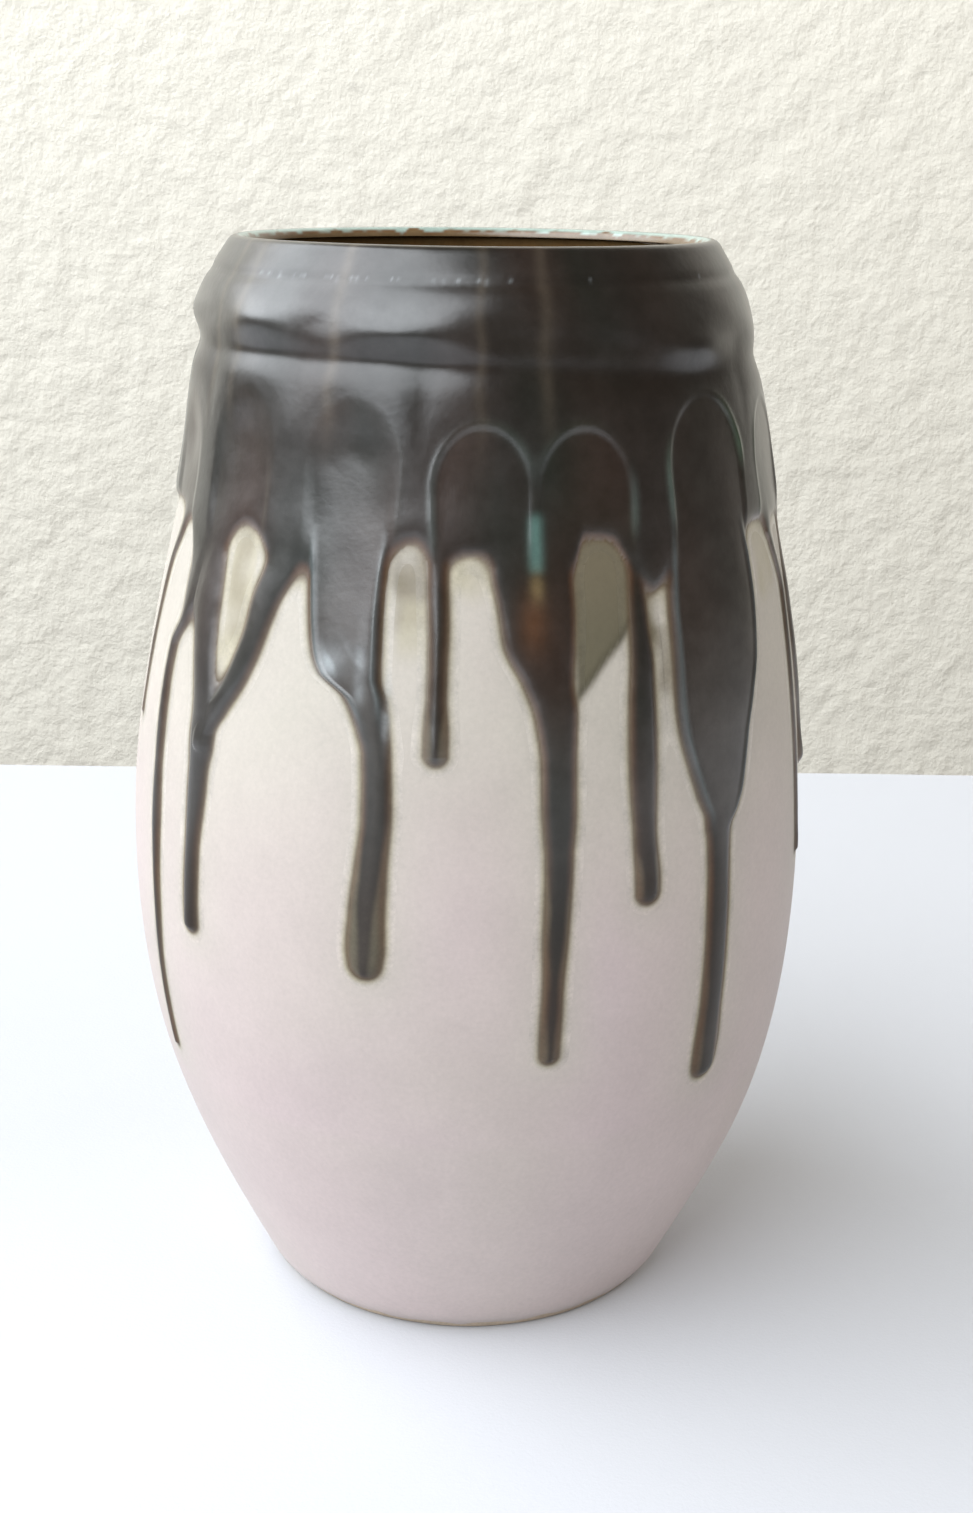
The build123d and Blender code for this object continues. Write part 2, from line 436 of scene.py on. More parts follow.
# Distance inside the edge of the dark glaze, runs and coat melted together, mm
def insideDark(angle, height):
    line = edgeHeight(turnFrom(angle, 0)) + glazeEdge["waver"] * edgeWaver(angle, height)
    depth = height - line
    for run in nearRuns(angle):
        depth = runTogether(depth, insideRun(run, angle, height), glazeEdge["web"])
    return depth


# The upper, second coat hangs in swags: arches between legs that run down
swags = {
    # angle, half width in degrees, top, crispness
    "arches": [(-47, 8.0, 193, 0), (-22, 8.2, 192.5, 0), (1.5, 7.9, 189, 0.8), (19.6, 8.1, 188.5, 0.8),
               (47, 9.6, 193, 1), (72, 7.5, 190, 0.6), (96, 8.5, 191, 1), (121, 8, 188, 0.3),
               (146, 9, 192, 0), (171, 8, 189, 0.8), (-164, 9, 191, 0), (-139, 8, 188.5, 1),
               (-114, 8.5, 192, 0.2), (-90, 8, 189, 0.5), (-69, 6.5, 190, 0)],
    "radius": 58.0,  # of the shoulder, for the arches' width
    "tall": 1.35,  # height of an arch's head over its half width
    "join": 2.0,  # mm over which neighbouring arches melt together
    "crispShare": 9.0,  # degrees over which crispness passes to the next arch
    "height": 0.42,
    "blend": 1.3,
    "ridge": 0.26,
    "ridgeInset": 0.9,
    "ridgeWidth": 0.7,
    "softHeight": 1.05,
    "softBlend": 6.5,
    "reach": 13.0,
    "legHeight": 0.5,
}


# Distance outside the nearest arch of the second coat, mm, below zero inside it; and its crispness
def outsideArches(angle, height):
    nearest, crisp, weight = 99.0, 0.0, 1e-6
    for at, halfTurn, top, crispness in swags["arches"]:
        across = np.radians(turnFrom(angle, at)) * wallRadius(height)
        half = math.radians(halfTurn) * swags["radius"] + 0.3 * waver(at, height)
        above = np.maximum(height - (top - half * swags["tall"]), 0) / swags["tall"]
        away = np.hypot(across, above) - half
        share = bell(turnFrom(angle, at), swags["crispShare"])
        crisp, weight = crisp + crispness * share, weight + share
        nearest = -runTogether(-nearest, -away, swags["join"])
    return nearest, crisp / weight


# The ridge of the second coat comes and goes, and is faint over the tops of the arches
def ridgeShare(angle, height):
    comesAndGoes = 0.6 + 1.0 * filmWaver(angle * 0.5, height * 0.6)
    return np.clip(comesAndGoes, 0.1, 1.3) * (1 - 0.55 * smoothStep(183, 190, height))


runRelief = {"rimInset": 1.3, "rimWidth": 0.75, "rimFade": 8, "evenHeight": 0.78, "bulb": 0.35,
             "bulbUp": 2.5, "bulbReach": 3.2}


# Ridge and extra thickness that a run has over the plain coat
def runDetail(angle, height):
    rim, extra = 0.0, 0.0
    drop = glazeLine - height
    for run in nearRuns(angle):
        depth = insideRun(run, angle, height)
        if run["rim"] > 0:
            fades = smoothStep(run["rimEnd"] - runRelief["rimFade"], run["rimEnd"], drop)
            share = smoothStep(-6, 2, drop) * (1 - fades)
            ridge = bell(depth - runRelief["rimInset"], runRelief["rimWidth"])
            rim = np.maximum(rim, run["rim"] * share * ridge)
        belly = smoothStep(-0.5, 1.5, depth) * smoothStep(2, 16, drop)
        bulb = runRelief["bulb"] * bell(drop - (run["end"] - runRelief["bulbUp"]), runRelief["bulbReach"])
        extra = np.maximum(extra, belly * ((run["height"] - runRelief["evenHeight"]) + bulb))
    return rim, extra


# skirt: a film this wide, thinning from skin to thinnest, lies beyond the dark glaze's edge
surface = {"skin": 0.03, "thinnest": 0.006, "skirt": 2.1, "edgeRound": 1.15, "coat": 0.74, "uneven": 0.06}
coatUneven = unevenness(31, (6, 18), 40)
filmWaver = unevenness(53, (8, 40), 12)


# Thickness of the dark glaze over the ground glaze at any place
def darkThickness(angle, height):
    depth = insideDark(angle, height)
    arch, crisp = outsideArches(angle, height)
    above = smoothStep(glazeLine - 4, glazeLine + 8, height)
    fade = 1 - smoothStep(3, swags["reach"], arch)
    hard = swags["height"] * smoothStep(-0.2, swags["blend"], arch)
    high = smoothStep(glazeLine + 6, glazeLine + 22, height)
    soft = swags["softHeight"] * smoothStep(-swags["softBlend"], 1.5, arch) * high
    soft = soft + swags["legHeight"] * smoothStep(-1.6, 1.0, arch) * (1 - high)
    swag = (soft + (hard - soft) * crisp) * above * fade
    ridge = bell(arch - swags["ridgeInset"], swags["ridgeWidth"]) * ridgeShare(angle, height)
    ridge = swags["ridge"] * ridge * above * crisp
    full = surface["coat"] + swag + surface["uneven"] * coatUneven(angle, height)
    rim, extra = runDetail(angle, height)
    collar = smoothStep(vaseTop - 12, vaseTop - 6, height)
    full = full + (coats["shoulder"] - full) * collar
    body = (full + extra) * (1 - np.exp(-np.maximum(depth, 0) / surface["edgeRound"]))
    skin = surface["thinnest"] + surface["skin"] * smoothStep(-surface["skirt"], -0.6, depth)
    return skin + body + (rim + ridge * (1 - collar)) * smoothStep(0, 1, depth)


# Colours
palette = {name: tone(*colour) for name, colour in {
    "pink": (187, 172, 169), "pinkDeep": (189, 172, 173), "cream": (181, 174, 163), "foot": (182, 172, 167),
    "dark": (26, 20, 13), "darkGreen": (19, 22, 13), "darkRed": (44, 26, 15), "swag": (25, 20, 15),
    # the pale blue-grey bead tone is partly glaze breaking over ridges and partly painted highlight
    "beadAndGlint": (92, 100, 100), "beadGreen": (56, 76, 54), "stem": (45, 41, 35), "tongue": (58, 52, 46),
    "olive": (100, 91, 70), "halo": (156, 148, 127), "runOlive": (92, 88, 72), "runBrown": (78, 60, 44),
    "amber": (80, 50, 27), "amberEdge": (86, 66, 44), "film": (122, 113, 95), "filmDark": (88, 82, 62),
    "filmPale": (168, 160, 138), "pool": (78, 108, 100), "poolLow": (110, 94, 62),
    # the silver tone is a painted highlight, used for glints and highlight patches
    "paintedHighlight": (168, 174, 176), "tan": (104, 92, 76), "lipPale": (150, 168, 158), "rust": (104, 72, 44),
    "linerBrown": (104, 82, 52), "linerLip": (98, 78, 50), "linerDeep": (44, 34, 24),
    "linerRust": (124, 88, 50), "linerBack": (60, 50, 40), "clay": (196, 178, 156)}.items()}
groundPatches = unevenness(41, (1, 6), 90)
creamPatches = unevenness(43, (4, 14), 45)
toneDrift = unevenness(47, (7, 24), 30)
# angle, width, height, reach up and down, strength
pinkStreaks = [(21, 5, 88, 16, 0.8), (-150, 6, 70, 20, 0.7), (110, 5, 96, 18, 0.6)]


# Lays palette tones over a colour, one after another, each with its own amount
def painted(colour, *layers):
    for name, amount in layers:
        colour = mixTone(colour, palette[name], amount)
    return colour


# Pale ground glaze: cream where it ran with the dark, pinker and lighter lower down
def groundTone(angle, height, depth):
    near = np.exp(np.minimum(depth, 0) / 7.0)
    patches = creamPatches(angle, height)
    pinkness = smoothStep(150, 95, height) * 0.8 + 0.25 * groundPatches(angle, height)
    colour = painted(palette["cream"], ("pink", pinkness),
                     ("pinkDeep", 0.45 * smoothStep(90, 30, height) + 0.2 * patches))
    for at, width, level, reach, strength in pinkStreaks:
        streak = strength * bell(turnFrom(angle, at), width) * bell(height - level, reach)
        colour = painted(colour, ("pinkDeep", streak))
    colour = painted(colour, ("cream", near * (0.75 + 0.2 * patches)))
    colour = colour * (1 + 0.14 * smoothStep(70, 8, height))[..., None]
    return painted(colour, ("foot", 0.6 * smoothStep(6, 1, height)))


# Thin see-through films left between the runs: angle from-to, height from-to, tone, strength
films = [
    (-13.5, -7.0, 155.0, 171.0, "film", 0.95), (-12.5, -7.0, 150.0, 160.0, "filmPale", 0.75),
    (-35.0, -29.0, 163.0, 169.0, "film", 0.8), (-4.5, 5.5, 161.5, 169.0, "filmPale", 0.9),
    (-47.5, -39.5, 143.0, 170.0, "filmPale", 0.9), (-46.5, -41.5, 150.0, 171.0, "film", 0.55),
    (30.5, 36.0, 142.0, 154.0, "film", 0.7), (29.2, 32.4, 151.0, 161.0, "olive", 0.85),
    (60.0, 69.0, 155.0, 170.0, "filmPale", 0.7), (88.0, 96.0, 156.0, 170.0, "film", 0.8),
    (138.0, 145.0, 152.0, 169.0, "film", 0.8), (-128.0, -120.0, 150.0, 170.0, "filmPale", 0.9),
    (-176.0, -168.0, 152.0, 170.0, "film", 0.8),
]


# The broad film under the fourth arch, with a slanting lower edge that has a darker rim
broadFilm = {"left": 15.5, "right": 28.5, "edge": 142, "edgeAt": 17, "slant": 1.3, "top": 173, "rimUp": 1.2}


def paintFilms(colour, angle, height):
    wobble = 1.3 * waver(angle * 2, height)
    sideways = 0.9 * filmWaver(angle, height)
    cloudy = 0.85 + 0.25 * filmWaver(angle * 2, height * 1.5)
    for low, high, bottom, top, name, strength in films:
        middle, half = (low + high) / 2, (high - low) / 2
        across = half - np.abs(turnFrom(angle, middle) + sideways)
        mask = smoothStep(-1.0, 1.6, across) * smoothStep(bottom - 2.5, bottom + 2.5, height + wobble)
        mask = mask * smoothStep(top + 1, top - 1, height)
        colour = painted(colour, (name, strength * mask * cloudy))
    left, right, top = broadFilm["left"], broadFilm["right"], broadFilm["top"]
    across = smoothStep(left, left + 2, angle) * smoothStep(right, right - 2, angle)
    edge = broadFilm["edge"] + (angle - broadFilm["edgeAt"]) * broadFilm["slant"] + 0.4 * wobble
    mask = across * smoothStep(edge - 1.6, edge + 1.6, height) * smoothStep(top, top - 2, height)
    shade = painted(palette["filmDark"] + 0 * colour, ("olive", smoothStep(150, 168, height)))
    colour = mixTone(colour, shade, 0.95 * mask)
    rim = across * bell(height - edge - broadFilm["rimUp"], 1.1) * (height < top - 2)
    return mixTone(colour, palette["filmDark"] * 0.6, 0.6 * rim)


# Lower runs are see-through olive with brown beside a dark core
def thinBesideCore(colour, angle, height):
    thin = painted(palette["runOlive"], ("runBrown", 0.5 + 0.7 * toneDrift(angle, height)))
    for run in nearRuns(angle):
        beyond = np.abs(acrossRun(run, angle, height)) - run["core"](glazeLine - height)
        beyond = beyond + 0.25 * filmWaver(angle, height)
        own = smoothStep(-0.2, 0.4, insideRun(run, angle, height))
        colour = mixTone(colour, thin, own * 0.9 * smoothStep(-0.5, 0.8, beyond))
    return colour


# The pale ground with what has bled from the dark glaze or run thinly over it
def paleTone(angle, height, depth):
    strength = 0.7 + 0.3 * toneDrift(angle * 2, height)
    bled = painted(groundTone(angle, height, depth), ("halo", strength * smoothStep(-1.7, -0.5, depth)),
                   ("olive", 0.8 * smoothStep(-0.8, 0.1, depth)))
    return painted(paintFilms(bled, angle, height), ("amberEdge", 0.6 * smoothStep(-0.9, 0.1, depth)))


# Where two streams gather in the sixth run: a turquoise pool, then yellow, then amber between them
gathering = {"lane": 10.4, "laneWidth": 1.15, "bottom": 163.5, "top": 176, "yellow": 162, "yellowReach": 2.6,
             "amberAt": 9.7, "amberWidth": 2.2, "amber": 156, "amberReach": 5.0}
# Thin tan glaze that ran down from the collar: angle, width, strength
tanStreaks = [(-60, 1.0, 0.5), (-52, 1.2, 0.35), (-27, 1.3, 0.5), (1, 1.0, 0.35), (13, 1.4, 0.3),
              (75, 2, 0.4), (140, 1.6, 0.4), (-110, 1.5, 0.45)]
# Bands over the lip, in degrees round its section from outside to inside: tone, start, full, raggedness
lipBands = [("lipPale", 88, 108, 0.4), ("rust", 128, 142, 2.2), ("linerBrown", 142, 158, 2.2)]
lipTan = {"at": 84, "width": 12, "strength": 0.6}


# Ridges, tongues and beads of the runs that have a rim; the beads' pale blue-grey is partly glaze breaking
# over the ridge and partly painted highlight
def rimTone(colour, angle, height):
    drop = glazeLine - height
    for run in nearRuns(angle):
        if run["rim"] > 0:
            inside = insideRun(run, angle, height)
            share = smoothStep(-8, 2, drop) * (1 - smoothStep(run["rimEnd"] - 6, run["rimEnd"], drop))
            low = smoothStep(-14, 40, drop) * smoothStep(1, 3.5, inside)
            # bead along the rim: pale where the glaze breaks over it, partly painted highlight
            colour = painted(colour, ("tongue", 0.8 * low),
                             ("beadAndGlint", 0.5 * share * bell(inside - runRelief["rimInset"], 0.6)))
    return colour


def gatheredTone(colour, angle, height):
    lane = 0.9 * bell(turnFrom(angle, gathering["lane"]), gathering["laneWidth"])
    wide = 0.85 * bell(turnFrom(angle, gathering["amberAt"]), gathering["amberWidth"])
    bottom, top = gathering["bottom"], gathering["top"]
    pool = smoothStep(bottom, bottom + 2.5, height) * smoothStep(top, top - 3, height)
    return painted(colour, ("pool", lane * pool),
                   ("poolLow", lane * bell(height - gathering["yellow"], gathering["yellowReach"])),
                   ("amber", wide * bell(height - gathering["amber"], gathering["amberReach"])))


def lipTone(colour, angle, height):
    over = np.degrees((height - lipStart) / coats["lipRound"] + lipLean)
    ragged = 8 * coatUneven(angle * 3, 0 * height) + 5 * edgeWaver(angle * 2, 0 * height)
    colour = painted(colour, ("tan", lipTan["strength"] * bell(over - lipTan["at"], lipTan["width"])))
    return painted(colour, *[(name, smoothStep(start, full, over + share * ragged))
                             for name, start, full, share in lipBands])


# Colour of the dark glaze, its bleeding edge and the films beside it
def darkTone(angle, height, depth):
    arch, crisp = outsideArches(angle, height)
    drift = toneDrift(angle, height)
    above = smoothStep(glazeLine - 3, glazeLine + 7, height)
    colour = painted(palette["dark"], ("darkGreen", 0.5 + 0.6 * drift),
                     ("darkRed", 0.35 + 0.6 * coatUneven(angle, height * 0.6)),
                     ("swag", 0.6 * above * smoothStep(0, 2, arch)),
                     ("stem", 0.5 * smoothStep(glazeLine - 12, glazeLine - 45, height)))
    colour = thinBesideCore(colour, angle, height)
    # beads on the arch ridges: pale where the glaze breaks over the ridge, partly painted highlight
    beadsAndGlints = crisp * bell(arch - 0.95, 0.85) * above * ridgeShare(angle, height)
    beadAndGlintTone = painted(palette["beadGreen"], ("beadAndGlint", 0.5 + 0.9 * toneDrift(angle, height * 0.5)))
    colour = mixTone(colour, beadAndGlintTone, 0.6 * beadsAndGlints)
    colour = gatheredTone(rimTone(colour, angle, height), angle, height)
    rusty = 0.5 + 0.35 * drift + 0.35 * smoothStep(158, 166, height)  # amber where the coat thins at an edge
    colour = painted(colour, ("amber", smoothStep(1.5, 0.1, depth) * rusty))
    for at, width, strength in tanStreaks:
        streak = 0.55 * strength * bell(turnFrom(angle, at) + 0.5 * filmWaver(angle, height), width)
        colour = painted(colour, ("tan", streak * smoothStep(180, 198, height)))
    colour = lipTone(colour, angle, height)
    return mixTone(paleTone(angle, height, depth), colour, smoothStep(-0.45, 0.75, depth))


# Where the dark glaze carries a glassy coat: fading down the runs, thinner on the collar and under the roll
glassy = {"none": 70, "full": 28, "collarFrom": 208, "collarTo": 213, "collarLoss": 0.35, "valley": 197,
          "valleyReach": 4, "valleyLoss": 0.5}


def glassyShare(height):
    onRuns = smoothStep(glazeLine - glassy["none"], glazeLine - glassy["full"], height)
    collar = 1 - glassy["collarLoss"] * smoothStep(glassy["collarFrom"], glassy["collarTo"], height)
    valley = 1 - glassy["valleyLoss"] * bell(height - glassy["valley"], glassy["valleyReach"])
    return onRuns * collar * valley


def meshNumbers(items, key):
    values = np.zeros(len(items), int)
    items.foreach_get(key, values)
    return values


# The piece unrolled, its turn round the vase across and its height up. It opens opposite the centre
# angle, where faces are kept whole.
def unroll(mesh, points, centre):
    corner = meshNumbers(mesh.loops, "vertex_index")
    starts = meshNumbers(mesh.polygons, "loop_start")
    owner = np.repeat(np.arange(len(starts)), meshNumbers(mesh.polygons, "loop_total"))
    turn = turnFrom(np.degrees(np.arctan2(points[:, 0], -points[:, 1])), centre)[corner]
    highest = np.full(len(starts), -999.0)
    np.maximum.at(highest, owner, turn)
    turn = np.where(highest[owner] - turn > 180, turn + 360, turn)
    level = points[corner, 2]
    low, high = points[:, 2].min(), points[:, 2].max()
    u = (turn - turn.min()) / max(turn.max() - turn.min(), 1e-6)
    v = (level - low) / max(high - low, 1e-6)
    mesh.uv_layers.new(name="OFBake").data.foreach_set("uv", np.stack([u, v], -1).ravel())


# A mesh object with its tones and its depth of dark glaze, from points in millimetres
def newPiece(name, points, faces, normals, tones, depth, centre=0.0):
    mesh = bpy.data.meshes.new(name)
    mesh.from_pydata((points * mm).tolist(), [], faces)
    mesh.polygons.foreach_set("use_smooth", np.ones(len(mesh.polygons), bool))
    colour = mesh.attributes.new("glazeTone", "FLOAT_COLOR", "POINT")
    full = np.ones((len(points), 4))
    full[:, :3] = np.clip(tones, 0, 1)
    colour.data.foreach_set("color", full.ravel())
    for key, values in (("glazeDepth", depth), ("glassyCoat", glassyShare(points[:, 2]))):
        attribute = mesh.attributes.new(key, "FLOAT", "POINT")
        attribute.data.foreach_set("value", np.asarray(values, float).ravel())
    unroll(mesh, points, centre)
    mesh.normals_split_custom_set_from_vertices(normals.tolist())
    return addObject(name, mesh)


# Quads between the rows of a closed ring grid whose first vertex is given
def ringFaces(rings, columns, first=0, flip=False):
    r, c = np.meshgrid(np.arange(rings - 1), np.arange(columns), indexing="ij")
    a = first + r * columns + c
    b = first + r * columns + (c + 1) % columns
    quads = np.stack([a, b, b + columns, a + columns], -1).reshape(-1, 4)
    return (quads[:, ::-1] if flip else quads).tolist()


# Joins one row of a ring grid to another row with the same number of columns
def joinRings(startA, startB, columns):
    c = np.arange(columns)
    d = (c + 1) % columns
    return np.stack([startA + c, startB + c, startB + d, startA + d], -1).tolist()


# Triangles from one row of a ring grid to a vertex in the middle
def fan(start, tip, columns, flip=False):
    around = [(start + c, start + (c + 1) % columns) for c in range(columns)]
    return [[b, a, tip] if flip else [a, b, tip] for a, b in around]


# A closed shell from an outer ring grid and an inner one, both (rows, columns, 3), low row first
def ringShell(name, outer, inner, tones, innerTone, depth, innerDepth):
    (points, normals), (innerPoints, innerNormals) = outer, inner
    columns = points.shape[1]
    count = points.shape[0] * columns
    faces = ringFaces(points.shape[0], columns)
    faces += ringFaces(innerPoints.shape[0], columns, count, flip=True)
    faces += joinRings(0, count, columns)
    faces += joinRings(count + (innerPoints.shape[0] - 1) * columns, count - columns, columns)
    innerCount = innerPoints.size // 3
    return newPiece(name, np.concatenate([rows(points), rows(innerPoints)]), faces,
                    np.concatenate([rows(normals), -rows(innerNormals)]),
                    np.concatenate([rows(tones), np.tile(innerTone, (innerCount, 1))]),
                    np.concatenate([depth.ravel(), np.full(innerCount, innerDepth)]))


def spaced(*parts):
    stretches = [np.arange(low, high, step) for low, high, step in parts]
    return np.concatenate(stretches + [[parts[-1][1]]])


detail = 1.0  # coarser meshes while trying things

groundMesh = {"columns": 540, "innerRows": 14, "fineFrom": 60, "fineTo": 172, "bleedFrom": 55,
              "edgeWaver": 0.45, "thinnedBy": 0.4}


# Pale ground glaze over the whole outside, from the bare foot to the lip
def makeGroundCoat():
    fineFrom, fineTo = groundMesh["fineFrom"], groundMesh["fineTo"]
    heights = spaced((bareFoot + 0.2, 12, 0.9), (12, fineFrom, 2.4 / detail),
                     (fineFrom, fineTo, 1.25 / detail), (fineTo, lipStart - 0.4, 2.2 / detail))
    angle, height = np.meshgrid(onceRound(int(groundMesh["columns"] * detail)), heights)
    height = height + groundMesh["edgeWaver"] * waver(angle * 2, height * 0) * smoothStep(12, 2, height)

    def thinnedAtFoot(a, h):
        return (smoothStep(bareFoot - 0.6, bareFoot + 1.8, h) - 1) * groundMesh["thinnedBy"]

    few = np.linspace(0, len(heights) - 1, groundMesh["innerRows"]).astype(int)
    inner = evenlyCoated(angle[few], height[few], -coats["ground"])
    depth = np.where(height > groundMesh["bleedFrom"], insideDark(angle, height), -9.0)
    return ringShell("ground_coat", coated(angle, height, thinnedAtFoot), inner,
                     paleTone(angle, height, depth), palette["cream"], 0 * height, 0.0)


shoulderMesh = {"columns": 880, "rows": 96, "innerRows": 12, "searchUp": 9.0, "lipEnd": 174, "inside": 0.06}


# The dark coat from the glaze line over shoulder, roll, collar and lip
def makeShoulderCoat():
    rings = int(shoulderMesh["rows"] * detail)
    angles = onceRound(int(shoulderMesh["columns"] * detail))
    low = np.full(len(angles), glazeLine)
    high = low + shoulderMesh["searchUp"]
    covered = insideDark(angles, low) + surface["skirt"] > 0
    for _ in range(26):  # halves the stretch that the coat's lower edge is in
        middle = (low + high) / 2
        dark = insideDark(angles, middle) + surface["skirt"] > 0
        high = np.where(dark, middle, high)
        low = np.where(dark, low, middle)
    bottom = np.where(covered, glazeLine, high)
    lipEnd = lipStart + coats["lipRound"] * (math.radians(shoulderMesh["lipEnd"]) - lipLean)
    height = bottom + (lipEnd - bottom) * np.linspace(0, 1, rings)[:, None]
    angle = np.broadcast_to(angles, height.shape)
    few = np.linspace(0, rings - 1, shoulderMesh["innerRows"]).astype(int)
    inner = evenlyCoated(angle[few], height[few], -shoulderMesh["inside"])
    depth = insideDark(angle, height)
    # painted highlights: pale glints along the crease under the collar
    tones = painted(darkTone(angle, height, depth), ("paintedHighlight", paintCreaseGlints(angle, height)))
    return ringShell("shoulder_coat", coated(angle, height, darkThickness), inner, tones, palette["dark"],
                     smoothStep(-0.3, 0.5, depth), 1.0)


creaseGlints = {"count": 22, "from": -52, "to": 2, "aroundCount": 26, "height": 213.9, "uneven": 0.12, "size": 0.3,
          "radius": 51.0, "seed": 5}


# Painted highlights: tiny pale glints along the crease under the collar, most of them on the front and left
# where the window light falls
def paintCreaseGlints(angle, height):
    rng = np.random.default_rng(creaseGlints["seed"])
    front = rng.uniform(creaseGlints["from"], creaseGlints["to"], creaseGlints["count"])
    around = rng.uniform(0, 360, creaseGlints["aroundCount"])
    out = np.zeros(angle.shape)
    for at in np.concatenate([front, around]):
        level = creaseGlints["height"] + rng.normal(0, creaseGlints["uneven"])
        size = creaseGlints["size"] * rng.uniform(0.6, 1.3)
        across = np.radians(turnFrom(angle, at)) * creaseGlints["radius"]
        strength = rng.uniform(0.08, 0.32)
        out = np.maximum(out, strength * bell(np.hypot(across, height - level), size))
    return out


# The part of a grid where a field is above zero, with its cut edge on the field's zero line
def trimmedGrid(across, up, field):
    height, width = field.shape
    inside = field > 0
    corner = np.full(field.shape, -1)
    corner[inside] = np.arange(inside.sum())
    x, y = np.meshgrid(across, up)
    places = [np.stack([x[inside], y[inside]], -1)]
    count = inside.sum()

    def cuts(first, second, shape):
        nonlocal count
        fieldA, fieldB = field[first], field[second]
        cut = (fieldA > 0) != (fieldB > 0)
        t = np.clip(fieldA[cut] / (fieldA[cut] - fieldB[cut]), 0.02, 0.98)
        px = x[first][cut] + (x[second][cut] - x[first][cut]) * t
        py = y[first][cut] + (y[second][cut] - y[first][cut]) * t
        places.append(np.stack([px, py], -1))
        numbers = np.full(shape, -1)
        numbers[cut] = np.arange(count, count + cut.sum())
        count += cut.sum()
        return numbers

    level = cuts(np.s_[:, :-1], np.s_[:, 1:], (height, width - 1))
    upright = cuts(np.s_[:-1, :], np.s_[1:, :], (height - 1, width))
    cornersIn = inside[:-1, :-1] * 1 + inside[:-1, 1:] + inside[1:, :-1] + inside[1:, 1:]
    whole = cornersIn == 4
    some = (cornersIn > 0) & ~whole
    r, c = np.nonzero(whole)
    faces = np.stack([corner[r, c], corner[r, c + 1], corner[r + 1, c + 1], corner[r + 1, c]], -1).tolist()
    for r, c in zip(*np.nonzero(some)):
        corners = [corner[r, c], corner[r, c + 1], corner[r + 1, c + 1], corner[r + 1, c]]
        sides = [level[r, c], upright[r, c + 1], level[r + 1, c], upright[r, c]]
        face = []
        for k in range(4):
            if corners[k] >= 0:
                face.append(int(corners[k]))
            if sides[k] >= 0:
                face.append(int(sides[k]))
        if len(face) > 2:
            faces.append(face)
    return np.concatenate(places), faces


# Edges used by one face only, as (from, to) in that face's direction
def openEdges(faces, count):
    firsts = np.concatenate([np.array(face) for face in faces])
    seconds = np.concatenate([np.roll(np.array(face), -1) for face in faces])
    keys = firsts * count + seconds
    backs = seconds * count + firsts
    single = ~np.isin(keys, backs)
    return firsts[single], seconds[single]


# The stretch round the vase that a run's own shapes take up, in degrees
def runSpan(own):
    drops = np.linspace(-2, own[0]["end"], 40)
    lows, highs = [], []
    for run in own:
        swing = np.degrees((run["half"](drops) + runMesh["margin"]) / 60.0)
        middle = run["angle"] + run["sway"](drops)
        lows.append((middle - swing).min())
        highs.append((middle + swing).max())
    return min(lows), max(highs)


runMesh = {"across": 0.27, "up": 0.34, "margin": 7.5, "overlap": 0.15, "tuck": 0.07, "inside": 0.09}


# One run, cut out of the dark glaze where it is nearer to this run than to its neighbours
def makeRun(number):
    own = [run for run in runs.values() if run["owner"] == number]
    others = [run for run in runs.values() if run["owner"] != number
              and abs(turnFrom(run["angle"], own[0]["angle"])) < 50]
    across = np.arange(*runSpan(own), runMesh["across"] / detail)
    bottom = glazeLine - own[0]["end"] - surface["skirt"] - 0.6
    up = np.arange(bottom, glazeLine + 1.0, runMesh["up"] / detail)
    angle, height = np.meshgrid(across, up)
    ours = np.max([insideRun(run, angle, height) for run in own], axis=0)
    theirs = np.max([insideRun(run, angle, height) for run in others], axis=0)
    field = np.minimum(insideDark(angle, height) + surface["skirt"], ours - theirs + runMesh["overlap"])
    places, faces = trimmedGrid(across, up, field)
    faces = keepLargest(faces, len(places))
    used = np.unique(np.concatenate([np.array(face) for face in faces]))
    renumber = np.full(len(places), -1)
    renumber[used] = np.arange(len(used))
    faces = [renumber[face].tolist() for face in faces]
    angle, height = places[used, 0], places[used, 1]

    # the root slips under the edge of the shoulder coat
    tuck = runMesh["tuck"] * smoothStep(glazeLine, glazeLine + 0.3, height)
    front = outside(angle, height, darkThickness(angle, height) - tuck)
    frontNormals = coated(angle, height, darkThickness)[1]
    back, backNormals = evenlyCoated(angle, height, -runMesh["inside"])
    count = len(front)
    first, second = openEdges(faces, count)
    walls = np.stack([second, first, first + count, second + count], -1).tolist()
    backFaces = [[v + count for v in reversed(face)] for face in faces]
    depth = insideDark(angle, height)
    # painted highlight patches on the broad fourth run
    tones = paintHighlightPatches(darkTone(angle, height, depth), angle, height)
    points = np.concatenate([front, back])
    centre = np.degrees(np.arctan2(points[:, 0].mean(), -points[:, 1].mean()))
    return newPiece("run_" + number, points, faces + backFaces + walls,
                    np.concatenate([frontNormals, -backNormals]), np.tile(tones, (2, 1)),
                    np.tile(smoothStep(-0.3, 0.5, depth), 2), centre)


# Drops stray islands that the trimming leaves apart from the run itself
def keepLargest(faces, count):
    parent = np.arange(count)
    edges = np.array([(face[0], v) for face in faces for v in face[1:]])
    for _ in range(60):
        a, b = parent[edges[:, 0]], parent[edges[:, 1]]
        low = np.minimum(a, b)
        before = parent.copy()
        np.minimum.at(parent, edges[:, 0], low)
        np.minimum.at(parent, edges[:, 1], low)
        parent = parent[parent]
        if (parent == before).all():
            break
    root = parent[np.array([face[0] for face in faces])]
    values, counts = np.unique(root, return_counts=True)
    main = values[counts.argmax()]
    return [face for face, r in zip(faces, root) if r == main]


